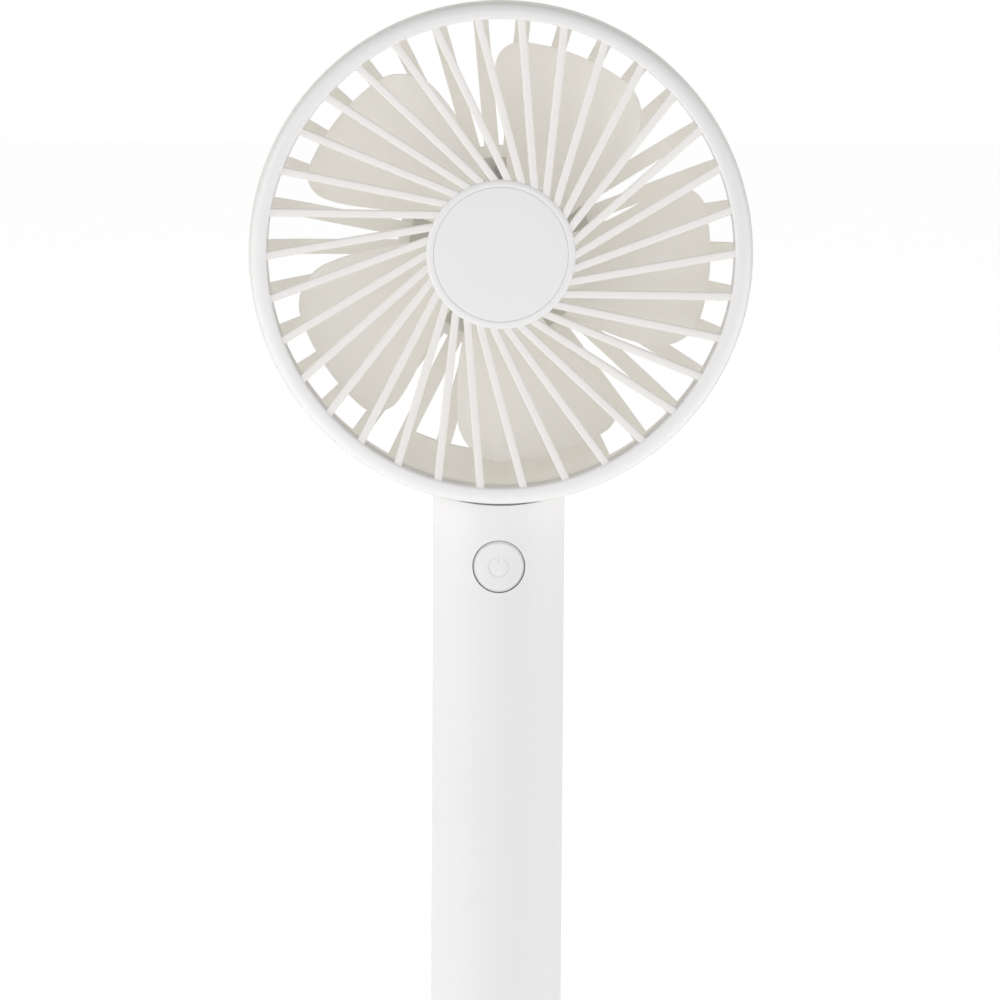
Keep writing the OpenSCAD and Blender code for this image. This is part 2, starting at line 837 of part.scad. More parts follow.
module handle_tube() {
    top = handle_len + rim_r - sqrt(rim_r * rim_r - handle_r * handle_r) + 0.5;
    color(shell_white) difference() {
        rotate_extrude() polygon([
            [tube_in_r, base_h],
            [handle_r - seam_chamfer, base_h],
            [handle_r, base_h + seam_chamfer],
            [handle_r, top],
            [tube_in_r, top],
        ]);
        at_head() rod(rim_r + saddle_gap, -handle_d, handle_d);
        translate([0, 0, button_z]) rod_y(button_hole_r, -handle_r - cut, 0);
        along_port(0, handle_r + cut) port_outline(port_clearance);
        translate([0, 0, lamp_z]) rod_y(lamp_d / 2 + 0.1, 0, handle_r + cut);
        neck_screw_place() {
            rod(screw_r + fit, 0, handle_wall + cut);
            rod(screw_head_r + fit, -cut, 0.3);
            translate([0, 0, 0.3]) cylinder(r1 = screw_head_r + fit, r2 = screw_r + fit, h = 0.9);
        }
    }
}

module neck_screws() {
    color(steel) neck_screw_place() difference() {
        union() {
            translate([0, 0, 0.3]) cylinder(r1 = screw_head_r, r2 = screw_r, h = 0.9);
            rod(screw_r, 0.5, neck_screw_len);
        }
        for (a = [0, 90]) rotate([0, 0, a]) translate([-1.1, -0.25, 0]) cube([2.2, 0.5, 0.8]);
    }
}

module bottom_cap() {
    color(shell_white) difference() {
        union() {
            rotate_extrude() {
                translate([0, base_round]) square([handle_r, base_h - base_round - seam_chamfer]);
                square([handle_r - base_round, base_h]);
                translate([handle_r - base_round, base_round]) circle(r = base_round);
                polygon([
                    [handle_r - base_round - bite, base_h - seam_chamfer - bite],
                    [handle_r, base_h - seam_chamfer - bite],
                    [handle_r, base_h - seam_chamfer],
                    [handle_r - seam_chamfer, base_h],
                    [handle_r - base_round - bite, base_h],
                ]);
            }
            sleeve(plug_r - 1.5, plug_r, base_h - bite, cap_plug_z1);
        }
        rod(bottom_screw_r + fit, -cut, base_h + cut);
        rod(bottom_head_r + fit, -cut, bottom_head_h + 0.2);
    }
}

module bottom_screw() {
    z = bottom_head_h + 0.2;
    color(steel) difference() {
        union() {
            rod(bottom_head_r, z - bottom_head_h, z);
            rod(bottom_screw_r, z - bite, z + bottom_screw_len);
        }
        for (a = [0, 90]) rotate([0, 0, a]) translate([-1.4, -0.3, -cut]) cube([2.8, 0.6, cut + 1]);
    }
}

// Back half of a hollow cylinder inside the tube, as far forward as the board's deck
module back_half(r_in, r_out, z0, z1) {
    intersection() {
        sleeve(r_in, r_out, z0, z1);
        translate([-handle_r, deck_y, z0 - cut]) cube([handle_d, handle_d, z1 - z0 + 2 * cut]);
    }
}

module chassis() {
    r = plug_r - 0.05;
    bulkhead_r = cell_r + tab_reach - 0.1;
    color([0.85, 0.85, 0.84]) difference() {
        union() {
            rod(r, chassis_floor_z, chassis_floor_z + chassis_floor_t);
            rod(bottom_boss_r, base_h + 0.05, chassis_floor_z + bite);
            for (s = [-1, 1]) translate([s * 6, -3, 0])
                rod(1.5, chassis_floor_z + chassis_floor_t - bite, charge_board_z);
            back_half(r - chassis_wall, r, chassis_floor_z + bite, chassis_top_z);
            for (z = [lower_bulkhead_z, upper_bulkhead_z]) {
                rod(bulkhead_r, z, z + bulkhead_t);
                back_half(bulkhead_r - bite, r - bite, z, z + bulkhead_t);
            }
            for (f = [0.1, 0.5, 0.9]) translate([0, 0, cell_z0 + f * cell_len - saddle_t / 2])
                back_half(cell_r + 0.1, r - bite, 0, saddle_t);
            // Deck behind the control board, with its screw bosses
            intersection() {
                translate([-r, deck_y, upper_bulkhead_z + bite])
                    cube([2 * r, deck_t, chassis_top_z - upper_bulkhead_z - bite]);
                rod(r - bite, upper_bulkhead_z, chassis_top_z);
            }
            for (s = [-1, 1]) translate([s * board_screw_x, 0, board_screw_z])
                rod_y(1.8, deck_y + bite, deck_y + 6);
        }
        rod(bottom_screw_r + press, base_h - cut, chassis_floor_z + chassis_floor_t + cut);
        for (s = [-1, 1]) translate([s * board_screw_x, 0, board_screw_z])
            rod_y(small_screw_r + press, deck_y - cut, deck_y + 4.5);
        // Window behind the switch, and the way out for the socket and the lamp
        translate([-4, deck_y - cut, button_z - 4]) cube([8, deck_t + 2 * cut, 8]);
        translate([-socket_w / 2 - 1, 0, chassis_floor_z + chassis_floor_t])
            cube([socket_w + 2, handle_r, lower_bulkhead_z - chassis_floor_z - chassis_floor_t]);
    }
}

// ---------------------------------------------------------------- battery

module battery_cell() {
    color([0.20, 0.45, 0.62]) {
        rod(cell_r, cell_z0 + 0.25, cell_z1 - 0.9);
        rod(3, cell_z1 - 1, cell_z1 - 0.25);
    }
}

module battery_collar() {
    color([0.9, 0.9, 0.86]) sleeve(3.5, cell_r - 0.2, cell_z1 - 0.9, cell_z1 - 0.6);
}

// Nickel strips on both ends, each folded down or up the cell's side
module battery_tabs() {
    color(steel) {
        tab(cell_z0, cell_z0, 1);
        tab(cell_z1 - 0.25, cell_z1, -1);
    }
}

module tab(z0, z_fold, direction) {
    side_y = -cell_r - tab_reach;
    fold = 3.2;
    translate([-2.5, side_y, z0]) cube([5, cell_r + 2, 0.25]);
    translate([-2.5, side_y, direction > 0 ? z_fold : z_fold - fold]) cube([5, 0.25, fold]);
}

module battery_pad() {
    z = cell_z0 + cell_len / 2;
    color([0.35, 0.35, 0.36]) sleeve_sector(cell_r + 0.05, tube_in_r - 0.1, z - 11, z + 11, -115, -65);
}

// ---------------------------------------------------------------- button and boards

module power_icon() {
    rotate([0, 0, 90 + icon_gap_deg]) rotate_extrude(angle = 360 - 2 * icon_gap_deg)
        translate([icon_r - icon_w / 2, 0]) square([icon_w, 2]);
    translate([-icon_w / 2, icon_r * 0.25, 0]) cube([icon_w, icon_r, 2]);
}

module power_button() {
    color(shell_white) translate([0, 0, button_z]) {
        difference() {
            intersection() {
                rod_y(button_r, -handle_r - cut, button_flange_y + bite);
                rod(handle_r, -button_r - cut, button_r + cut);
            }
            translate([0, -handle_r + icon_depth, 0]) rotate([90, 0, 0]) power_icon();
        }
        intersection() {
            rod_y(button_shoulder_r, -handle_r, button_flange_y + bite);
            rod(handle_r - button_shoulder_depth, -button_hole_r, button_hole_r);
        }
        rod_y(button_flange_r, button_flange_y, button_flange_y + button_flange_t);
        rod_y(button_post_r, button_flange_y + bite, plunger_y);
    }
}

module switch_plunger() {
    color(dark_plastic) translate([0, 0, button_z]) rod_y(plunger_r, plunger_y, switch_y + 1.4);
}

module switch_body() {
    color(dark_plastic) translate([0, 0, button_z]) difference() {
        translate([-switch_w / 2, switch_y, -switch_w / 2]) cube([switch_w, switch_h, switch_w]);
        rod_y(plunger_r + 0.1, switch_y - cut, switch_y + 1.4 + button_travel + 0.3);
    }
}

module control_board() {
    color(board_green) difference() {
        translate([-board_w / 2, board_y, board_z0]) cube([board_w, board_t, board_h]);
        for (s = [-1, 1]) translate([s * board_screw_x, 0, board_screw_z])
            rod_y(small_screw_r + press, board_y - cut, board_y + board_t + cut);
    }
}

module board_screws() {
    color(steel) for (s = [-1, 1]) translate([s * board_screw_x, 0, board_screw_z]) {
        rod_y(small_head_r, board_y - small_head_h, board_y);
        rod_y(small_screw_r, board_y - bite, board_y + board_t + 4);
    }
}

// A packaged component that stands on the front of the control board
module board_part(x, z, w, h, t) {
    translate([x - w / 2, board_y - t, button_z + z - h / 2]) cube([w, t, h]);
}

module speed_controller() {
    color(dark_plastic) board_part(5.7, 4.4, 3.6, 4.8, 1.5);
}

module motor_driver() {
    color(dark_plastic) board_part(-5.7, 4.2, 2.9, 2.9, 1.1);
}

module power_coil() {
    color([0.3, 0.3, 0.32]) board_part(0, -5.3, 4, 3.6, 2);
}

module board_capacitors() {
    color([0.75, 0.65, 0.5]) for (z = [0, 7]) board_part(-5.6, z, 1.6, 0.9, 0.8);
}

module charge_board() {
    r = plug_r - chassis_wall - 0.35;
    color(board_green) intersection() {
        rod(r, charge_board_z, charge_board_top);
        translate([-r, -r + 2, charge_board_z - cut]) cube([2 * r, 2 * r, board_t + 2 * cut]);
    }
}

module charge_chip() {
    color(dark_plastic) translate([3, -1.5, charge_board_top]) cube([4, 4, 1.3]);
}

module charge_lamp() {
    r = lamp_d / 2;
    y1 = handle_r - 0.5;
    y0 = tube_in_r - 2.6;
    color([0.85, 0.95, 0.85]) translate([0, 0, lamp_z]) {
        rod_y(r, y0, y1 - r * 0.6);
        intersection() {
            translate([0, y1 - r, 0]) sphere(r = r);
            rod_y(r, y1 - r, y1);
        }
        rod_y(r + 0.35, y0, y0 + 0.8);
        for (s = [-1, 1]) translate([s * 1.27 * r / 1.5 - 0.2, 0, 0]) {
            translate([0, socket_back_y - 1, -0.2]) cube([0.4, y0 - socket_back_y + 1 + bite, 0.4]);
            translate([0, socket_back_y - 1, charge_board_top - lamp_z])
                cube([0.4, 0.4, lamp_z - charge_board_top]);
        }
    }
}

module usb_shell() {
    y1 = handle_r - 0.55;
    color(steel) difference() {
        along_port(socket_back_y, y1) port_outline(0);
        along_port(socket_back_y + socket_wall, y1 + cut) port_outline(-socket_wall);
    }
}

module usb_tongue() {
    w = socket_w - 2.3;
    color(dark_plastic) along_port(socket_back_y + socket_wall, handle_r - 1.2)
        square([w, 0.7], center = true);
}

// ---------------------------------------------------------------- leads

function unit(v) = v / norm(v);

// A route whose inner corners are rounded, each starting at most one bend's length away
function rounded(p, bend) = [
    for (i = [0:len(p) - 1])
        if (i == 0 || i == len(p) - 1) p[i]
        else let (
            d0 = min(bend, norm(p[i - 1] - p[i]) / 2.1),
            d1 = min(bend, norm(p[i + 1] - p[i]) / 2.1),
            a = p[i] + d0 * unit(p[i - 1] - p[i]),
            b = p[i] + d1 * unit(p[i + 1] - p[i])
        ) for (k = [0:bend_steps]) let (t = k / bend_steps)
            (1 - t) * (1 - t) * a + 2 * t * (1 - t) * p[i] + t * t * b
];

// A round lead along a route; reference is any direction that the route never takes
module lead(route, reference) {
    n = len(route);
    tangents = [for (i = [0:n - 1])
        unit(route[min(i + 1, n - 1)] - route[max(i - 1, 0)])];
    points = [for (i = [0:n - 1]) let (
        side = unit(cross(tangents[i], reference)),
        up = cross(side, tangents[i])
    ) for (k = [0:lead_sides - 1]) let (a = 360 * k / lead_sides)
        route[i] + lead_r * (cos(a) * side + sin(a) * up)];
    walls = [for (i = [0:n - 2]) for (k = [0:lead_sides - 1]) let (
        j = (k + 1) % lead_sides,
        a = i * lead_sides,
        b = a + lead_sides
    ) [a + k, a + j, b + j, b + k]];
    triangles = [for (q = walls) for (f = [[q[0], q[1], q[2]], [q[0], q[2], q[3]]]) f];
    first = [for (k = [0:lead_sides - 1]) lead_sides - 1 - k];
    last = [for (k = [0:lead_sides - 1]) (n - 1) * lead_sides + k];
    polyhedron(points = points, faces = concat(triangles, [first, last]));
}

// Places beside the cell at an angle in front of the side, on the right (+1) or the left (-1)
function beside_cell(s, angle, z) = [s * side_r * cos(angle), -side_r * sin(angle), z];

module battery_lead_negative() {
    color(lead_black) lead(rounded([
        [0, tab_lead_y, cell_z0 + 3],
        [0, tab_lead_y, lower_bulkhead_z - 5],
        [0, tab_lead_y + 4, charge_board_top + 2.5],
        [0, tab_lead_y + 4, charge_board_top],
    ], 2), [1, 0, 0]);
}

module battery_lead_positive() {
    color(lead_red) lead(rounded([
        [0, tab_lead_y, cell_z1 - 1],
        [0, tab_lead_y, cell_z1 - 4],
        beside_cell(-1, return_angle, cell_z1 - 12),
        beside_cell(-1, return_angle, lower_bulkhead_z - 3),
        [-3.5, -5.5, charge_board_top + 3],
        [-3.5, -5.5, charge_board_top],
    ], 2), [0, 1, 0]);
}

// The supply runs up beside the cell, from the charging board to the control board
function supply_route(s) = rounded([
    [s * 7, -4.8, charge_board_top],
    [s * 7, -4.8, charge_board_top + 3],
    beside_cell(s, supply_angle, charge_board_top + 8),
    beside_cell(s, supply_angle, board_screw_z + 1),
    [s * (board_w / 2 - 1), board_lead_y, board_screw_z + 4.5],
    [s * (board_w / 2 - 1), board_lead_y, board_screw_z + 7],
], 2);

module supply_lead_positive() {
    color(lead_red) lead(supply_route(1), [0, 1, 0]);
}

module supply_lead_negative() {
    color(lead_black) lead(supply_route(-1), [0, 1, 0]);
}

// From the board, up the neck, along the channel in the housing and in to the motor
function motor_route(s) = let (
    arc_r = back_corner_r - channel_mid,
    arc_y = -back_z - back_corner_r,
    arc_z = head_z - rim_r + back_corner_r,
    x = s * lead_x
) concat(
    rounded([
        [s * 1.4, board_lead_y, board_z0 + board_h - 3],
        [s * 1.4, board_lead_y, board_z0 + board_h + 1],
        [x, lead_hole_y - 0.3, handle_len - 1.5],
        [x, lead_hole_y - 0.3, head_z - rim_r + channel_mid],
        [x, arc_y - 0.5, head_z - rim_r + channel_mid],
    ], 1.6),
    [for (k = [0:8]) let (a = 90 * k / 8)
        [x, arc_y + arc_r * sin(a), arc_z - arc_r * cos(a)]],
    rounded([
        [x, arc_y + arc_r, head_z - rear_hub_r],
        [x, arc_y + arc_r, head_z - rear_hub_r + 3],
        [s * 3.8, -motor_back_z + 1, head_z - 8],
        [s * 3.8, -motor_back_z + 1, head_z - 6],
    ], 2)
);

module motor_lead_positive() {
    color(lead_red) lead(motor_route(1), [1, 0, 0.01]);
}

module motor_lead_negative() {
    color(lead_black) lead(motor_route(-1), [1, 0, 0.01]);
}

// ---------------------------------------------------------------- drawing

front_grille();
hub_cap();
rear_housing();
lead_cover();
motor_mount();
mount_screws();
motor_screws();
motor_can();
motor_end_cap();
motor_magnets();
front_bush();
rear_bush();
motor_brushes();
motor_terminals();
motor_shaft();
armature_core();
armature_windings();
commutator();
impeller();
handle_tube();
neck_screws();
bottom_cap();
bottom_screw();
chassis();
battery_cell();
battery_collar();
battery_tabs();
battery_pad();
control_board();
board_screws();
switch_body();
switch_plunger();
power_button();
motor_driver();
speed_controller();
power_coil();
board_capacitors();
charge_board();
charge_chip();
charge_lamp();
usb_shell();
usb_tongue();
battery_lead_positive();
battery_lead_negative();
supply_lead_positive();
supply_lead_negative();
motor_lead_positive();
motor_lead_negative();
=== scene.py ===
"""Looks of a handheld electric fan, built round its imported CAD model. Metres, +Z up, front towards -Y."""

import json
import math

import bpy
from mathutils import Matrix, Vector


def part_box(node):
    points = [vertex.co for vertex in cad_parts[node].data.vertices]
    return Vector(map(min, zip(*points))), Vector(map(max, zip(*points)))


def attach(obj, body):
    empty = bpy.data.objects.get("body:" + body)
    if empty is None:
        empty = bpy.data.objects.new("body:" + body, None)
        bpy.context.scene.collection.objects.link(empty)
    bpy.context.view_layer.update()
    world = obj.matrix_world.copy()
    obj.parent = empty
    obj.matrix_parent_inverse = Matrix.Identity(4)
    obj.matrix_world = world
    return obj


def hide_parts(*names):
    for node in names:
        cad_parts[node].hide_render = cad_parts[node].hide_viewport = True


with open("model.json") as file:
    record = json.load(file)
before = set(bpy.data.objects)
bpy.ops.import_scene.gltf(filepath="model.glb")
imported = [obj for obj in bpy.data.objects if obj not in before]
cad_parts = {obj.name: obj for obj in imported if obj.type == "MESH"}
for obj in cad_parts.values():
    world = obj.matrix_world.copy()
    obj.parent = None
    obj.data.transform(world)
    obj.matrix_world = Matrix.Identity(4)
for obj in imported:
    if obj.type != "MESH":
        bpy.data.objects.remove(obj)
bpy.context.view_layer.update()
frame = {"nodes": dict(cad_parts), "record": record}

MM = 0.001
nodes = frame["nodes"]

# ---------------------------------------------------------------- sizes, from the CAD where it has them

grille_low, grille_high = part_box("front_grille")
housing_low, housing_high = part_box("rear_housing")
tube_low, tube_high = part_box("handle_tube")
button_low, button_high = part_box("power_button")
cap_low, cap_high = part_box("hub_cap")

HEAD_Z = (grille_low[2] + grille_high[2]) / 2
RING_R = (grille_high[0] - grille_low[0]) / 2
RIM_R = (housing_high[0] - housing_low[0]) / 2
FRONT = -grille_low[1]
SPIGOT_BACK = -grille_high[1]
SEAM = FRONT - 7.5 * MM
BACK = -housing_high[1]
HANDLE_R = (tube_high[0] - tube_low[0]) / 2
CAP_R = (cap_high[0] - cap_low[0]) / 2
BUTTON_Z = (button_low[2] + button_high[2]) / 2
AXIS = Vector((0, -1, 0))
HEAD = Vector((0, 0, HEAD_Z))

RING_IN_R = RING_R - 3.3 * MM
SPIGOT_R = RIM_R - 2.05 * MM
DISC_R = 15.4 * MM
RIB_COUNT = 34
RIB_PITCH = 360 / RIB_COUNT
RIB_OFFSET = 7.9 * MM
RIB_W = 1.65 * MM
RIB_DEPTH = 2.2 * MM
RIB_FRONT = FRONT - 0.5 * MM
RIB_TURN = math.degrees(math.asin(RIB_OFFSET / (RING_IN_R - 3 * MM))) - RIB_PITCH / 2
BLADE_TIP_R = 43.6 * MM
HUB_R = 14.5 * MM
HUB_BACK = -4 * MM
HUB_FRONT = HUB_BACK + 14.5 * MM
BUTTON_R = 5 * MM
BUTTON_GAP = 0.45 * MM

# Blade edges at the head, in degrees clockwise from up: at the hub, and how far they turn by the tip
LEAD_ROOT, LEAD_SWEEP = 4.7, 6.7
TRAIL_ROOT, TRAIL_SWEEP = 62.2, 16.5
LEAD_CORNER_R, TRAIL_CORNER_R = 6 * MM, 7.5 * MM

# ---------------------------------------------------------------- modelling by hand


def deselect():
    if bpy.context.object and bpy.context.object.mode != "OBJECT":
        bpy.ops.object.mode_set(mode="OBJECT")
    bpy.ops.object.select_all(action="DESELECT")


def edit(part):
    deselect()
    bpy.context.view_layer.objects.active = part
    part.select_set(True)
    bpy.ops.object.mode_set(mode="EDIT")


def leave():
    bpy.ops.object.mode_set(mode="OBJECT")


def pick(part, test, mode="VERT"):
    """Selects the corners, edges or faces of a part for which the test holds, and stays in edit mode."""
    bpy.ops.mesh.select_mode(type=mode)
    bpy.ops.mesh.select_all(action="DESELECT")
    leave()
    mesh = part.data
    if mode == "VERT":
        for v in mesh.vertices:
            v.select = bool(test(v.co))
    elif mode == "EDGE":
        for e in mesh.edges:
            a, b = (mesh.vertices[i].co for i in e.vertices)
            e.select = bool(test(a, b))
    else:
        for f in mesh.polygons:
            f.select = bool(test(f.center, f.normal))
    bpy.ops.object.mode_set(mode="EDIT")


def pick_open_edges():
    """Selects the open rim of the sheet that is being edited."""
    bpy.ops.mesh.select_mode(type="EDGE")
    bpy.ops.mesh.select_all(action="DESELECT")
    bpy.ops.mesh.select_non_manifold(
        extend=False, use_wire=False, use_multi_face=False, use_non_contiguous=False, use_verts=False)


def settle(part, name, angle=35):
    """Names a part, leaves its place in its mesh and shades it smooth up to an angle."""
    deselect()
    bpy.context.view_layer.objects.active = part
    part.select_set(True)
    bpy.ops.object.transform_apply(location=True, rotation=True, scale=True)
    bpy.ops.object.shade_smooth_by_angle(angle=math.radians(angle))
    part.name = name
    part.data.name = name
    return part


def finish_modifier(part, kind, **settings):
    deselect()
    bpy.context.view_layer.objects.active = part
    part.select_set(True)
    modifier = part.modifiers.new(kind.lower(), kind)
    for key, value in settings.items():
        setattr(modifier, key, value)
    bpy.ops.object.modifier_apply(modifier=modifier.name)


def wire(points):
    """A wire drawn along points, one extruded corner after another."""
    deselect()
    points = [Vector(p) for p in points]
    bpy.ops.mesh.primitive_plane_add(size=MM, location=points[0])
    part = bpy.context.object
    bpy.ops.object.mode_set(mode="EDIT")
    bpy.ops.mesh.select_mode(type="VERT")
    bpy.ops.mesh.select_all(action="SELECT")
    bpy.ops.mesh.merge(type="CENTER")
    for a, b in zip(points, points[1:]):
        bpy.ops.mesh.extrude_vertices_move(TRANSFORM_OT_translate={"value": b - a})
    return part


def lathe(name, section, axis=AXIS, centre=HEAD, steps=192, angle=360, start=0, smooth=35):
    """Spins a closed section, given as (radius, forward) round the head, or (radius, height) round a post."""
    if axis == AXIS:
        points = [Vector((0, -d, centre.z + r)) for r, d in section]
    else:
        points = [Vector((r, 0, centre.z + d)) for r, d in section]
    ends_on_axis = abs(section[0][0]) < 1e-9 and abs(section[-1][0]) < 1e-9
    if not ends_on_axis:
        points.append(points[0])
    if start:
        turn = Matrix.Rotation(math.radians(start), 4, axis)
        points = [turn @ (p - centre) + centre for p in points]
    part = wire(points)
    bpy.ops.mesh.select_all(action="SELECT")
    bpy.ops.mesh.remove_doubles(threshold=1e-7)
    bpy.ops.mesh.select_all(action="SELECT")
    bpy.ops.mesh.spin(steps=steps, angle=math.radians(angle), center=centre, axis=axis)
    bpy.ops.mesh.select_all(action="SELECT")
    bpy.ops.mesh.remove_doubles(threshold=2e-6)
    if angle < 360:
        pick_open_edges()
        bpy.ops.mesh.edge_face_add()
        bpy.ops.mesh.select_all(action="SELECT")
    bpy.ops.mesh.select_all(action="SELECT")
    bpy.ops.mesh.normals_make_consistent(inside=False)
    leave()
    return settle(part, name, smooth)


def arc(r, d, radius, a0, a1, count=6):
    """Points of a rounded corner in a section, centred at (r, d)."""
    return [
        (r + radius * math.cos(math.radians(a)), d + radius * math.sin(math.radians(a)))
        for a in (a0 + (a1 - a0) * k / count for k in range(count + 1))
    ]


def copies_round(first, name, count, start=0.0):
    """Copies a part round the head's axis, each with its own mesh, and joins them into one piece."""
    made = [first]
    for k in range(1, count):
        copy = first.copy()
        copy.data = first.data.copy()
        bpy.context.scene.collection.objects.link(copy)
        made.append(copy)
    for k, part in enumerate(made):
        turn = Matrix.Rotation(math.radians(start + k * 360 / count), 4, AXIS)
        part.matrix_world = Matrix.Translation(HEAD) @ turn @ Matrix.Translation(-HEAD)
    deselect()
    for part in made:
        part.select_set(True)
    bpy.context.view_layer.objects.active = first
    bpy.ops.object.transform_apply(location=True, rotation=True, scale=True)
    bpy.ops.object.join()
    return settle(first, name)


# ---------------------------------------------------------------- materials


class Socket:
    """A shader socket that takes part in sums."""

    def __init__(self, tree, link):
        self.tree, self.link = tree, link

    def _math(self, operation, a, b):
        return add(self.tree, "ShaderNodeMath", {"operation": operation}, {0: a, 1: b})

    def __add__(self, other):
        return self._math("ADD", self, other)

    def __radd__(self, other):
        return self._math("ADD", other, self)

    def __sub__(self, other):
        return self._math("SUBTRACT", self, other)

    def __rsub__(self, other):
        return self._math("SUBTRACT", other, self)

    def __mul__(self, other):
        return self._math("MULTIPLY", self, other)

    def __rmul__(self, other):
        return self._math("MULTIPLY", other, self)


def add(tree, kind, settings=None, values=None, out=0):
    """One node: its settings first, then the values or links of its sockets."""
    made = tree.nodes.new(kind)
    for key, value in (settings or {}).items():
        if key == "stops":
            ramp = made.color_ramp
            while len(ramp.elements) < len(value):
                ramp.elements.new(0.5)
            for element, (place, colour) in zip(ramp.elements, value):
                element.position, element.color = place, colour
        else:
            setattr(made, key, value)
    for key, value in (values or {}).items():
        if isinstance(value, Socket):
            tree.links.new(value.link, made.inputs[key])
        else:
            made.inputs[key].default_value = value
    return Socket(tree, made.outputs[out])


def srgb(r, g, b):
    """A colour given as 0 to 255, as the shader wants it."""
    shares = (c / 255 for c in (r, g, b))
    return tuple(c / 12.92 if c <= 0.04045 else ((c + 0.055) / 1.055) ** 2.4 for c in shares) + (1.0,)


def mix(tree, factor, a, b):
    return add(tree, "ShaderNodeMix", {"data_type": "RGBA"}, {0: factor, 6: a, 7: b}, out=2)


def noise(tree, place, scale, detail=2.0, rough=0.5):
    return add(tree, "ShaderNodeTexNoise", None,
               {"Vector": place, "Scale": scale, "Detail": detail, "Roughness": rough})


def new_material(name):
    material = bpy.data.materials.new(name)
    material.use_nodes = True
    tree = material.node_tree
    tree.nodes.clear()
    place = add(tree, "ShaderNodeTexCoord", None, None, out=3)
    return material, tree, place


def close_material(tree, colour, roughness, normal, constants=None, more=None):
    values = {"Base Color": colour, "Roughness": roughness, "Normal": normal}
    values.update(constants or {})
    values.update(more or {})
    surface = add(tree, "ShaderNodeBsdfPrincipled", None, values)
    add_output = tree.nodes.new("ShaderNodeOutputMaterial")
    tree.links.new(surface.link, add_output.inputs["Surface"])


def painted_glow_inside_head(tree, place):
    """Mask of the painted glow: one inside the head and nothing on its outer faces. The glow is painted
    light, an emission that brightens the faces inside the head.
    """
    flat = add(tree, "ShaderNodeVectorMath", {"operation": "MULTIPLY_ADD"},
               {0: place, 1: (1, 0, 1), 2: (0, 0, -HEAD_Z)})
    radius = add(tree, "ShaderNodeVectorMath", {"operation": "LENGTH"}, {0: flat}, out=1)
    depth = add(tree, "ShaderNodeSeparateXYZ", None, {0: place}, out=1)
    within = add(tree, "ShaderNodeMapRange", None,
                 {0: radius, 1: RIM_R - 1.4 * MM, 2: RIM_R - 0.6 * MM, 3: 1, 4: 0})
    ahead = add(tree, "ShaderNodeMapRange", None,
                {0: depth, 1: -BACK - 1.2 * MM, 2: -BACK - 0.5 * MM, 3: 1, 4: 0})
    return within * ahead


def moulded_plastic(name, colour, shade, roughness=0.42, grain=0.045, edge=0.15 * MM, painted_glow=0.0):
    """Satin moulding: broad faint tone changes, fine spark-eroded grain, slightly worn edges and, where asked
    for, a painted glow (painted light) on the faces inside the head.
    """
    material, tree, place = new_material(name)
    broad = noise(tree, place, 38.0, 2.0)
    mottle = noise(tree, place, 420.0, 3.0, 0.6)
    fine = noise(tree, place, 5200.0, 2.0, 0.6)
    drift = broad * 0.7 + mottle * 0.3
    tone = mix(tree, drift, colour, shade)
    gloss = add(tree, "ShaderNodeMapRange", {"interpolation_type": "SMOOTHSTEP"},
                {0: mottle * 0.6 + fine * 0.4, 1: 0.3, 2: 0.7, 3: roughness - 0.05, 4: roughness + 0.06})
    rounded = add(tree, "ShaderNodeBevel", {"samples": 4}, {"Radius": edge})
    bump = add(tree, "ShaderNodeBump", None,
               {"Strength": grain, "Distance": 0.08 * MM, "Height": fine * 0.8 + mottle * 0.2,
                "Normal": rounded})
    constants = {"IOR": 1.47, "Specular IOR Level": 0.45}
    # Painted light: faces inside the head glow in their own tone, an emission that brightens them as light
    # falling on them would.
    if painted_glow:
        inside = painted_glow_inside_head(tree, place)
        constants.update({"Emission Color": mix(tree, inside, (0, 0, 0, 1), tone),
                          "Emission Strength": painted_glow})
    close_material(tree, tone, gloss, bump, constants)
    return material


def plated_metal(name, colour, shade, roughness=0.28, scale=900.0):
    """Drawn or plated metal with fine lines of polish and darker patches."""
    material, tree, place = new_material(name)
    stretched = add(tree, "ShaderNodeMapping", None, {"Vector": place, "Scale": (1.0, 0.08, 1.0)})
    lines = noise(tree, stretched, scale, 3.0, 0.6)
    patches = noise(tree, place, 160.0, 2.0)
    tone = mix(tree, lines * 0.5 + patches * 0.5, colour, shade)
    gloss = add(tree, "ShaderNodeMapRange", None,
                {0: lines, 1: 0.25, 2: 0.75, 3: roughness - 0.08, 4: roughness + 0.12})
    rounded = add(tree, "ShaderNodeBevel", {"samples": 4}, {"Radius": 0.08 * MM})
    bump = add(tree, "ShaderNodeBump", None,
               {"Strength": 0.08, "Distance": 0.03 * MM, "Height": lines, "Normal": rounded})
    close_material(tree, tone, gloss, bump, {"Metallic": 1.0})
    return material


def circuit_board(name):
    """Green solder mask over faint copper tracks and glass weave."""
    material, tree, place = new_material(name)
    tracks = add(tree, "ShaderNodeTexBrick", {"offset": 0.37, "squash": 1.6},
                 {"Vector": place, "Scale": 380.0, "Mortar Size": 0.06, "Bias": 0.0}, out=1)
    weave = noise(tree, place, 2400.0, 1.0)
    blotch = noise(tree, place, 210.0, 2.0)
    base = mix(tree, blotch, srgb(24, 92, 58), srgb(16, 76, 48))
    tone = mix(tree, tracks * 0.55, base, srgb(44, 122, 74))
    rounded = add(tree, "ShaderNodeBevel", {"samples": 4}, {"Radius": 0.08 * MM})
    bump = add(tree, "ShaderNodeBump", None,
               {"Strength": 0.25, "Distance": 0.04 * MM, "Height": tracks * 0.8 + weave * 0.2,
                "Normal": rounded})
    close_material(tree, tone, weave * 0.1 + 0.28, bump, {"Coat Weight": 0.3, "Coat Roughness": 0.2})
    return material


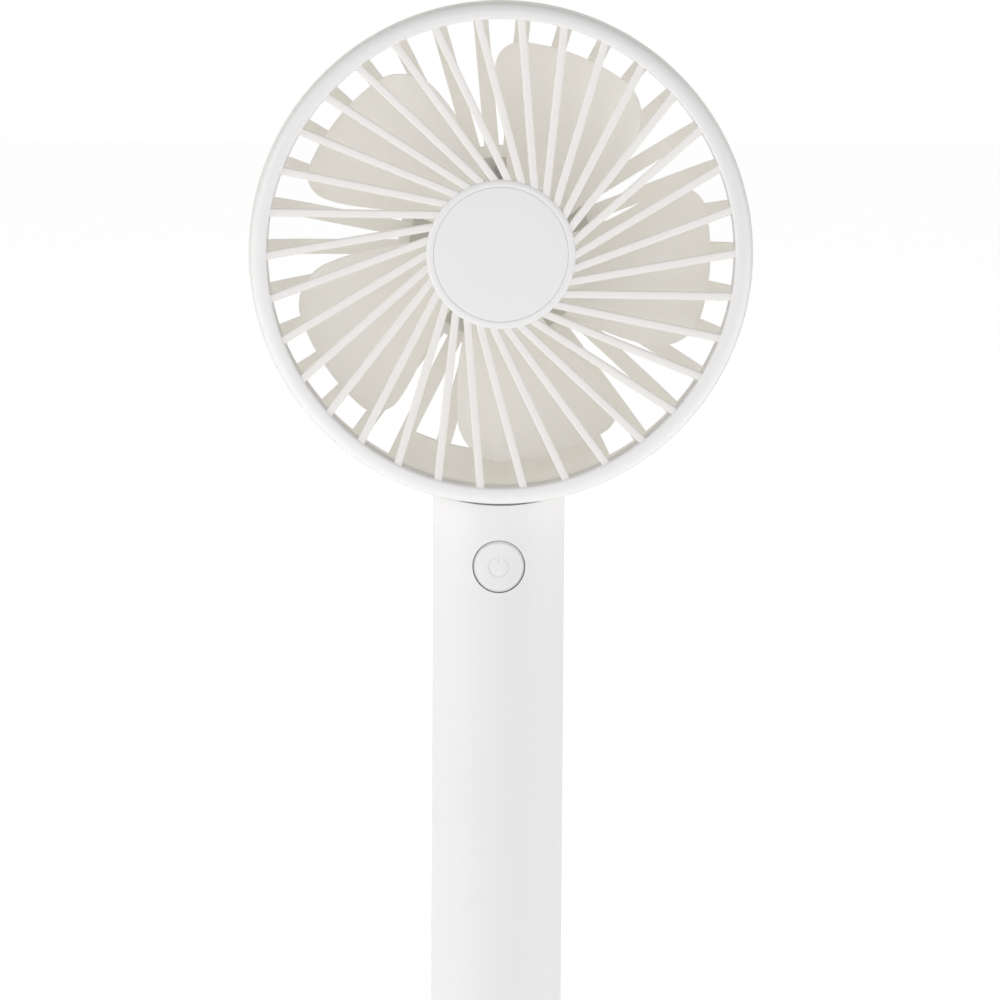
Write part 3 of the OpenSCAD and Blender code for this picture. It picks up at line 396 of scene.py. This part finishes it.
def wound_wire(name, colour, shade):
    """Fine turns of enamelled wire."""
    material, tree, place = new_material(name)
    turns = add(tree, "ShaderNodeTexWave", {"wave_type": "BANDS", "bands_direction": "Y"},
                {"Vector": place, "Scale": 1400.0, "Distortion": 0.6, "Detail": 1.0}, out=1)
    patches = noise(tree, place, 500.0, 2.0)
    tone = mix(tree, turns * 0.6 + patches * 0.4, colour, shade)
    bump = add(tree, "ShaderNodeBump", None, {"Strength": 0.5, "Distance": 0.08 * MM, "Height": turns})
    close_material(tree, tone, patches * 0.2 + 0.25, bump, {"Metallic": 0.9})
    return material


def shrink_sleeve(name, colour, shade):
    """Thin shrunk sleeve with faint wrinkles and a soft gloss."""
    material, tree, place = new_material(name)
    stretched = add(tree, "ShaderNodeMapping", None, {"Vector": place, "Scale": (1.0, 1.0, 0.2)})
    wrinkles = noise(tree, stretched, 260.0, 3.0, 0.6)
    tone = mix(tree, wrinkles, colour, shade)
    rounded = add(tree, "ShaderNodeBevel", {"samples": 4}, {"Radius": 0.3 * MM})
    bump = add(tree, "ShaderNodeBump", None,
               {"Strength": 0.12, "Distance": 0.15 * MM, "Height": wrinkles, "Normal": rounded})
    close_material(tree, tone, wrinkles * 0.15 + 0.22, bump, {"Coat Weight": 0.4, "Coat Roughness": 0.15})
    return material


def lamp_lens(name):
    """Milky lens of the charge lamp."""
    material, tree, place = new_material(name)
    cloud = noise(tree, place, 700.0, 2.0)
    tone = mix(tree, cloud, srgb(236, 240, 232), srgb(214, 224, 212))
    bump = add(tree, "ShaderNodeBump", None, {"Strength": 0.05, "Distance": 0.05 * MM, "Height": cloud})
    close_material(tree, tone, cloud * 0.1 + 0.1, bump,
                   {"IOR": 1.5, "Subsurface Weight": 0.3, "Subsurface Scale": 1.0 * MM,
                    "Coat Weight": 0.5, "Coat Roughness": 0.05})
    return material


SHELL_WHITE = moulded_plastic("shell_white_satin", srgb(236, 235, 235), srgb(232, 231, 231))
RIB_WHITE = moulded_plastic("rib_white_satin", srgb(238, 236, 234), srgb(233, 230, 227))
# The rear housing and the blades carry a painted glow inside the head: emission that lights them up, painted
# light rather than a lamp.
HOUSING_WHITE = moulded_plastic("housing_white_satin", srgb(244, 242, 237), srgb(240, 238, 232),
                                painted_glow=0.135)
BLADE_CREAM = moulded_plastic("blade_cream_satin", srgb(240, 238, 231), srgb(236, 233, 226),
                              roughness=0.36, painted_glow=0.15)
INNER_WHITE = moulded_plastic("inner_white_plain", srgb(226, 225, 221), srgb(216, 215, 210), roughness=0.5)
BLACK_PLASTIC = moulded_plastic("black_glass_filled", srgb(38, 38, 40), srgb(52, 52, 54),
                                roughness=0.5, grain=0.15)
NICKEL = plated_metal("nickel_plate", srgb(190, 191, 193), srgb(160, 161, 164))
CORE_STEEL = plated_metal("laminated_steel", srgb(134, 136, 140), srgb(100, 102, 106), 0.4, 2600.0)
SINTERED_BRONZE = plated_metal("sintered_bronze", srgb(188, 148, 96), srgb(160, 120, 72), 0.42, 1800.0)
BARE_COPPER = plated_metal("bare_copper", srgb(206, 132, 92), srgb(178, 104, 68), 0.3, 1500.0)
FERRITE = moulded_plastic("ferrite_grey", srgb(66, 66, 70), srgb(50, 50, 54), roughness=0.6, grain=0.3)
FOAM = moulded_plastic("grey_foam", srgb(92, 92, 94), srgb(70, 70, 72), roughness=0.85, grain=0.8)
CERAMIC = moulded_plastic("ceramic_tan", srgb(196, 172, 136), srgb(176, 150, 114), roughness=0.4)
RED_LEAD = moulded_plastic("red_insulation", srgb(190, 38, 30), srgb(168, 28, 24), roughness=0.3)
BLACK_LEAD = moulded_plastic("black_insulation", srgb(30, 30, 32), srgb(42, 42, 44), roughness=0.3)
BOARD = circuit_board("green_board")
WINDING = wound_wire("enamelled_wire", srgb(196, 110, 66), srgb(138, 66, 36))
SLEEVE = shrink_sleeve("blue_sleeve", srgb(56, 112, 156), srgb(44, 94, 136))
LENS = lamp_lens("milky_lens")

FINISHES = {
    "shell_plastic": SHELL_WHITE, "housing_plastic": HOUSING_WHITE, "impeller_plastic": BLADE_CREAM,
    "inner_plastic": INNER_WHITE, "dark_plastic": BLACK_PLASTIC, "steel": NICKEL, "core_steel": CORE_STEEL,
    "ferrite": FERRITE, "bronze": SINTERED_BRONZE, "copper": BARE_COPPER, "cell": SLEEVE, "foam": FOAM,
    "board": BOARD, "capacitor": CERAMIC, "lamp": LENS, "lead_red": RED_LEAD, "lead_black": BLACK_LEAD,
}


def dress(part, material):
    part.data.materials.clear()
    part.data.materials.append(material)


for entry in frame["record"]["subparts"]:
    dress(nodes[entry["node"]], FINISHES[entry["material_slot"]])
dress(nodes["armature_windings"], WINDING)

# ---------------------------------------------------------------- front grille


def front_ring():
    """Ring with a rounded outer edge, and the spigot behind it."""
    outer, inner = 2.2 * MM, 0.6 * MM
    seam = SEAM + 0.3 * MM
    section = (
        [(RING_R - 0.25 * MM, seam), (RING_R, seam + 0.25 * MM)]
        + arc(RING_R - outer, FRONT - outer, outer, 0, 90, 12)
        + arc(RING_IN_R + inner, FRONT - inner, inner, 90, 180, 6)
        + arc(RING_IN_R + 0.2 * MM, SPIGOT_BACK + 0.2 * MM, 0.2 * MM, 180, 270, 2)
        + arc(SPIGOT_R - 0.3 * MM, SPIGOT_BACK + 0.3 * MM, 0.3 * MM, 270, 360, 3)
        + [(SPIGOT_R, seam)]
    )
    return lathe("front_ring", section, steps=240)


def runs_along(a, b, y):
    """Whether an edge lies at depth y and runs the length of a bar."""
    return abs(a.y - y) < 1e-6 and abs(b.y - y) < 1e-6 and abs(a.z - b.z) > MM


def swirl_ribs():
    """Bars from the disc to the ring, all leaning the same way round."""
    y0 = math.sqrt((DISC_R - 0.4 * MM) ** 2 - RIB_OFFSET ** 2)
    y1 = math.sqrt((RING_IN_R + MM) ** 2 - RIB_OFFSET ** 2)
    deselect()
    bpy.ops.mesh.primitive_cube_add(
        size=1,
        location=(RIB_OFFSET, -(RIB_FRONT - RIB_DEPTH / 2), HEAD_Z + (y0 + y1) / 2),
        scale=(RIB_W, RIB_DEPTH, y1 - y0),
    )
    bar = bpy.context.object
    bpy.ops.object.transform_apply(location=True, rotation=True, scale=True)
    bpy.ops.object.mode_set(mode="EDIT")
    front = -RIB_FRONT
    pick(bar, lambda a, b: runs_along(a, b, front), "EDGE")
    bpy.ops.mesh.bevel(offset=0.38 * MM, segments=4, profile=0.5)
    rear = front + RIB_DEPTH
    pick(bar, lambda a, b: runs_along(a, b, rear), "EDGE")
    bpy.ops.mesh.bevel(offset=0.25 * MM, segments=2, profile=0.5)
    leave()
    return copies_round(bar, "swirl_ribs", RIB_COUNT, RIB_TURN)


def front_disc():
    """Disc in the middle of the ribs, with the recess that the cap lies in."""
    depth, edge, floor = 3.2 * MM, 1.0 * MM, 1.2 * MM
    lip = CAP_R + 0.03 * MM
    section = (
        [(0, FRONT - floor), (lip, FRONT - floor)]
        + arc(lip + 0.06 * MM, FRONT - 0.06 * MM, 0.06 * MM, 180, 90, 3)
        + arc(DISC_R - edge, FRONT - edge, edge, 90, 0, 8)
        + [(DISC_R, FRONT - depth + 0.3 * MM), (DISC_R - 0.3 * MM, FRONT - depth), (0, FRONT - depth)]
    )
    return lathe("front_disc", section, steps=160)


def hub_cap():
    """Thin cap in the disc, its edge just rounded."""
    edge = 0.1 * MM
    section = (
        [(0, FRONT), (CAP_R * 0.6, FRONT)]
        + arc(CAP_R - edge, FRONT - edge, edge, 90, 0, 4)
        + [(CAP_R, FRONT - 1.1 * MM), (0, FRONT - 1.1 * MM)]
    )
    return lathe("hub_cover_cap", section, steps=160)


# ---------------------------------------------------------------- impeller


def smooth_step(x):
    x = min(max(x, 0.0), 1.0)
    return x * x * (3 - 2 * x)


def leading_edge(t):
    return LEAD_ROOT - LEAD_SWEEP * smooth_step(t / 0.75)


def trailing_edge(t):
    return TRAIL_ROOT - TRAIL_SWEEP * t


def corner_drop(x, r):
    return 0.0 if x >= r else r - math.sqrt(max(r * r - (r - x) ** 2, 0.0))


def blade():
    """One swept blade: a sheet that is shaped corner by corner, then thickened and rounded."""
    across, out = 44, 22
    root = HUB_R - 0.7 * MM
    tip_arc = math.radians(trailing_edge(1) - leading_edge(1)) * BLADE_TIP_R
    deselect()
    bpy.ops.mesh.primitive_grid_add(x_subdivisions=across, y_subdivisions=out, size=2, location=(0, 0, 0))
    sheet = bpy.context.object
    thickness = sheet.vertex_groups.new(name="thickness")
    for v in sheet.data.vertices:
        u = (1 - math.cos(math.pi * (v.co.x + 1) / 2)) / 2
        share = (v.co.y + 1) / 2
        tip = (
            BLADE_TIP_R
            - corner_drop(u * tip_arc, LEAD_CORNER_R)
            - corner_drop((1 - u) * tip_arc, TRAIL_CORNER_R)
        )
        r = root + share * (tip - root)
        t = (r - root) / (BLADE_TIP_R - root)
        a = math.radians(90 - leading_edge(t) - u * (trailing_edge(t) - leading_edge(t)))
        camber = 0.9 * MM * math.sin(math.pi * u)
        d = HUB_BACK + 0.6 * MM + (10.5 - 1.2) * MM * u + camber
        v.co = (r * math.cos(a), -d, HEAD_Z + r * math.sin(a))
        thick = 0.6 + 0.9 * math.sin(math.pi * u) * (1 - 0.4 * t)
        thickness.add([v.index], thick / 1.5, "REPLACE")
    finish_modifier(sheet, "SOLIDIFY", thickness=1.5 * MM, offset=0.0,
                    vertex_group="thickness", use_even_offset=False)
    finish_modifier(sheet, "BEVEL", width=0.22 * MM, segments=2,
                    limit_method="ANGLE", angle_limit=math.radians(50))
    edit(sheet)
    bpy.ops.mesh.select_all(action="SELECT")
    bpy.ops.mesh.normals_make_consistent(inside=False)
    leave()
    sheet.vertex_groups.clear()
    return sheet


def impeller_hub():
    """Cup-shaped hub with a boss on the shaft."""
    wall, face, edge = 1.4 * MM, 1.6 * MM, 3 * MM
    boss, bore = 3.2 * MM, 1.01 * MM
    inside = HUB_FRONT - face
    section = (
        [(0, HUB_FRONT)]
        + arc(HUB_R - edge, HUB_FRONT - edge, edge, 90, 0, 10)
        + [(HUB_R, HUB_BACK + 0.3 * MM), (HUB_R - 0.3 * MM, HUB_BACK)]
        + [(HUB_R - wall + 0.3 * MM, HUB_BACK), (HUB_R - wall, HUB_BACK + 0.3 * MM)]
        + arc(HUB_R - edge, inside - (edge - wall), edge - wall, 0, 90, 6)
        + [(boss, inside), (boss, 3.6 * MM), (bore, 3.6 * MM)]
        + [(bore, HUB_FRONT - 1.2 * MM), (0, HUB_FRONT - 1.2 * MM)]
    )
    return lathe("impeller_hub", section, steps=128)


# ---------------------------------------------------------------- button


def button_cap():
    """Round cap whose front follows the handle, with the power mark sunk into it."""
    deselect()
    front = HANDLE_R
    bpy.ops.mesh.primitive_grid_add(x_subdivisions=96, y_subdivisions=96, size=2, location=(0, 0, 0))
    face = bpy.context.object
    mark_r, mark_w, sunk = 1.95 * MM, 0.2 * MM, 0.16 * MM
    for v in face.data.vertices:
        # square grid drawn out into a round one
        x, y = v.co.x, v.co.y
        x, y = x * math.sqrt(1 - y * y / 2), y * math.sqrt(1 - x * x / 2)
        r = math.hypot(x, y)
        px, pz = x * BUTTON_R, y * BUTTON_R
        edge = BUTTON_R * (1 - r)
        drop = 0.35 * MM * (1 - math.sqrt(max(0.0, 1 - (1 - min(edge / (0.35 * MM), 1.0)) ** 2)))
        ring = abs(math.hypot(px, pz) - mark_r)
        if pz > 0 and abs(px) < 0.85 * MM:
            ring = 1.0
        stem = max(abs(px), abs(pz - 1.55 * MM) - 0.95 * MM + mark_w)
        near = min(ring, stem)
        groove = 1 - smooth_step((near - mark_w * 0.55) / (0.14 * MM))
        v.co = (px, -(math.sqrt(front ** 2 - px ** 2) - drop - sunk * groove), BUTTON_Z + pz)
    edit(face)
    pick_open_edges()
    bpy.ops.mesh.extrude_region_move(TRANSFORM_OT_translate={"value": (0, 1.2 * MM, 0)})
    bpy.ops.mesh.extrude_region_move(TRANSFORM_OT_translate={"value": (0, 1.2 * MM, 0)})
    bpy.ops.mesh.edge_face_add()
    bpy.ops.mesh.select_all(action="SELECT")
    bpy.ops.mesh.normals_make_consistent(inside=False)
    leave()
    return settle(face, "button_cap", 40)


def button_flange():
    """Flange and post behind the button's cap."""
    flange_r = BUTTON_R + MM
    y0 = math.sqrt((HANDLE_R - 1.8 * MM) ** 2 - flange_r ** 2) - 0.2 * MM
    centre = Vector((0, 0, BUTTON_Z))
    neck_r, post_r, chamfer = BUTTON_R - 0.1 * MM, 1.5 * MM, 0.15 * MM
    section = [
        (0, y0 + 0.5 * MM), (neck_r, y0 + 0.5 * MM), (neck_r, y0),
        (flange_r - chamfer, y0), (flange_r, y0 - chamfer), (flange_r, y0 - 0.9 * MM),
        (post_r, y0 - 0.9 * MM), (post_r, y0 - 1.8 * MM), (0, y0 - 1.8 * MM),
    ]
    return lathe("button_flange", section, centre=centre, steps=96)


def button_shoulder():
    """Step round the cap that closes the gap a little way in, following the handle's curve."""
    deselect()
    depth, reach = 0.5 * MM, BUTTON_R + BUTTON_GAP - 0.15 * MM
    bpy.ops.mesh.primitive_cylinder_add(
        vertices=128, radius=reach, depth=3.4 * MM, end_fill_type="NGON",
        location=(0, -HANDLE_R + 1.7 * MM, BUTTON_Z), rotation=(math.pi / 2, 0, 0))
    step = bpy.context.object
    bpy.ops.object.transform_apply(location=True, rotation=True, scale=True)
    edit(step)
    pick(step, lambda c, n: n.y < -0.9, "FACE")
    bpy.ops.mesh.inset(thickness=0.75 * MM, depth=0)
    leave()
    for v in step.data.vertices:
        if v.co.y < -HANDLE_R + 0.1 * MM:
            v.co.y = -math.sqrt((HANDLE_R - depth) ** 2 - v.co.x ** 2)
    return settle(step, "button_shoulder", 40)


ring = front_ring()
ribs = swirl_ribs()
disc = front_disc()
cover = hub_cap()
for piece in (ring, disc, cover):
    dress(piece, SHELL_WHITE)
dress(ribs, RIB_WHITE)
for piece in (ring, ribs, disc):
    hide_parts("front_grille")
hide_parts("hub_cap")
for piece in (ring, ribs, disc, cover):
    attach(piece, "grille")

blades = copies_round(blade(), "impeller_blades", 5)
hub = impeller_hub()
for piece in (blades, hub):
    dress(piece, BLADE_CREAM)
    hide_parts("impeller")
    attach(piece, "rotor")

cap = button_cap()
flange = button_flange()
shoulder = button_shoulder()
for piece in (cap, flange, shoulder):
    dress(piece, SHELL_WHITE)
    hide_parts("power_button")
    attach(piece, "button")

# ---------------------------------------------------------------- floor, light and camera

deselect()
bpy.ops.mesh.primitive_grid_add(x_subdivisions=40, y_subdivisions=40, size=16, location=(0, 0, 0))
floor = bpy.context.object
floor.name = "pale_floor"
material, tree, place = new_material("pale_floor_paper")
paper = noise(tree, place, 60.0, 3.0)
close_material(tree, mix(tree, paper, srgb(255, 255, 255), srgb(253, 253, 253)), paper * 0.1 + 0.75,
               add(tree, "ShaderNodeBump", None, {"Strength": 0.02, "Distance": MM, "Height": paper}),
               {"Emission Color": (1, 1, 1, 1), "Emission Strength": 0.54})
floor.data.materials.append(material)


def soft_light(name, place, aim, size, power, colour=(1, 1, 1)):
    lamp = bpy.data.lights.new(name, "AREA")
    lamp.shape, lamp.size, lamp.energy, lamp.color = "DISK", size, power, colour
    stand = bpy.data.objects.new(name, lamp)
    bpy.context.scene.collection.objects.link(stand)
    stand.location = place
    stand.rotation_mode = "QUATERNION"
    stand.rotation_quaternion = (Vector(aim) - Vector(place)).to_track_quat("-Z", "Y")


soft_light("front_softbox", (-0.25, -2.0, 0.75), (0, 0, 0.14), 0.9, 3.6)
soft_light("left_softbox", (-1.5, -0.5, 0.7), (0, 0, 0.12), 0.9, 7.0)
soft_light("right_softbox", (1.6, -0.4, 0.5), (0, 0, 0.12), 0.9, 4.5)

world = bpy.data.worlds.new("studio")
bpy.context.scene.world = world
world.use_nodes = True
air = world.node_tree
air.nodes.clear()
seen = add(air, "ShaderNodeLightPath", None, None, out=0)
shine = add(air, "ShaderNodeBackground", None, {"Color": (1, 1, 1, 1), "Strength": 0.45})
sky = add(air, "ShaderNodeBackground", None, {"Color": (1, 1, 1, 1), "Strength": 1.0})
both = add(air, "ShaderNodeMixShader", None, {0: seen, 1: shine, 2: sky})
air.links.new(both.link, air.nodes.new("ShaderNodeOutputWorld").inputs["Surface"])

bpy.context.scene.view_settings.view_transform = "Standard"
bpy.context.scene.view_settings.look = "None"

DISTANCE, PITCH, SIDE, ROLL = 1.2, 4.9, 0.2, 0.38
target = Vector((0.0002, 0, 0.1120))
side, pitch = math.radians(SIDE), math.radians(PITCH)
back = Vector((-math.sin(side) * math.cos(pitch), -math.cos(side) * math.cos(pitch), math.sin(pitch)))
lens = bpy.data.cameras.new("camera")
lens.sensor_width, lens.lens = 36, 36 / 0.2088 * DISTANCE
camera = bpy.data.objects.new("camera", lens)
bpy.context.scene.collection.objects.link(camera)
camera.location = target + back * DISTANCE
camera.rotation_mode = "QUATERNION"
look = (-back).to_track_quat("-Z", "Y")
camera.rotation_quaternion = look @ Matrix.Rotation(math.radians(ROLL), 4, "Z").to_quaternion()
bpy.context.scene.camera = camera
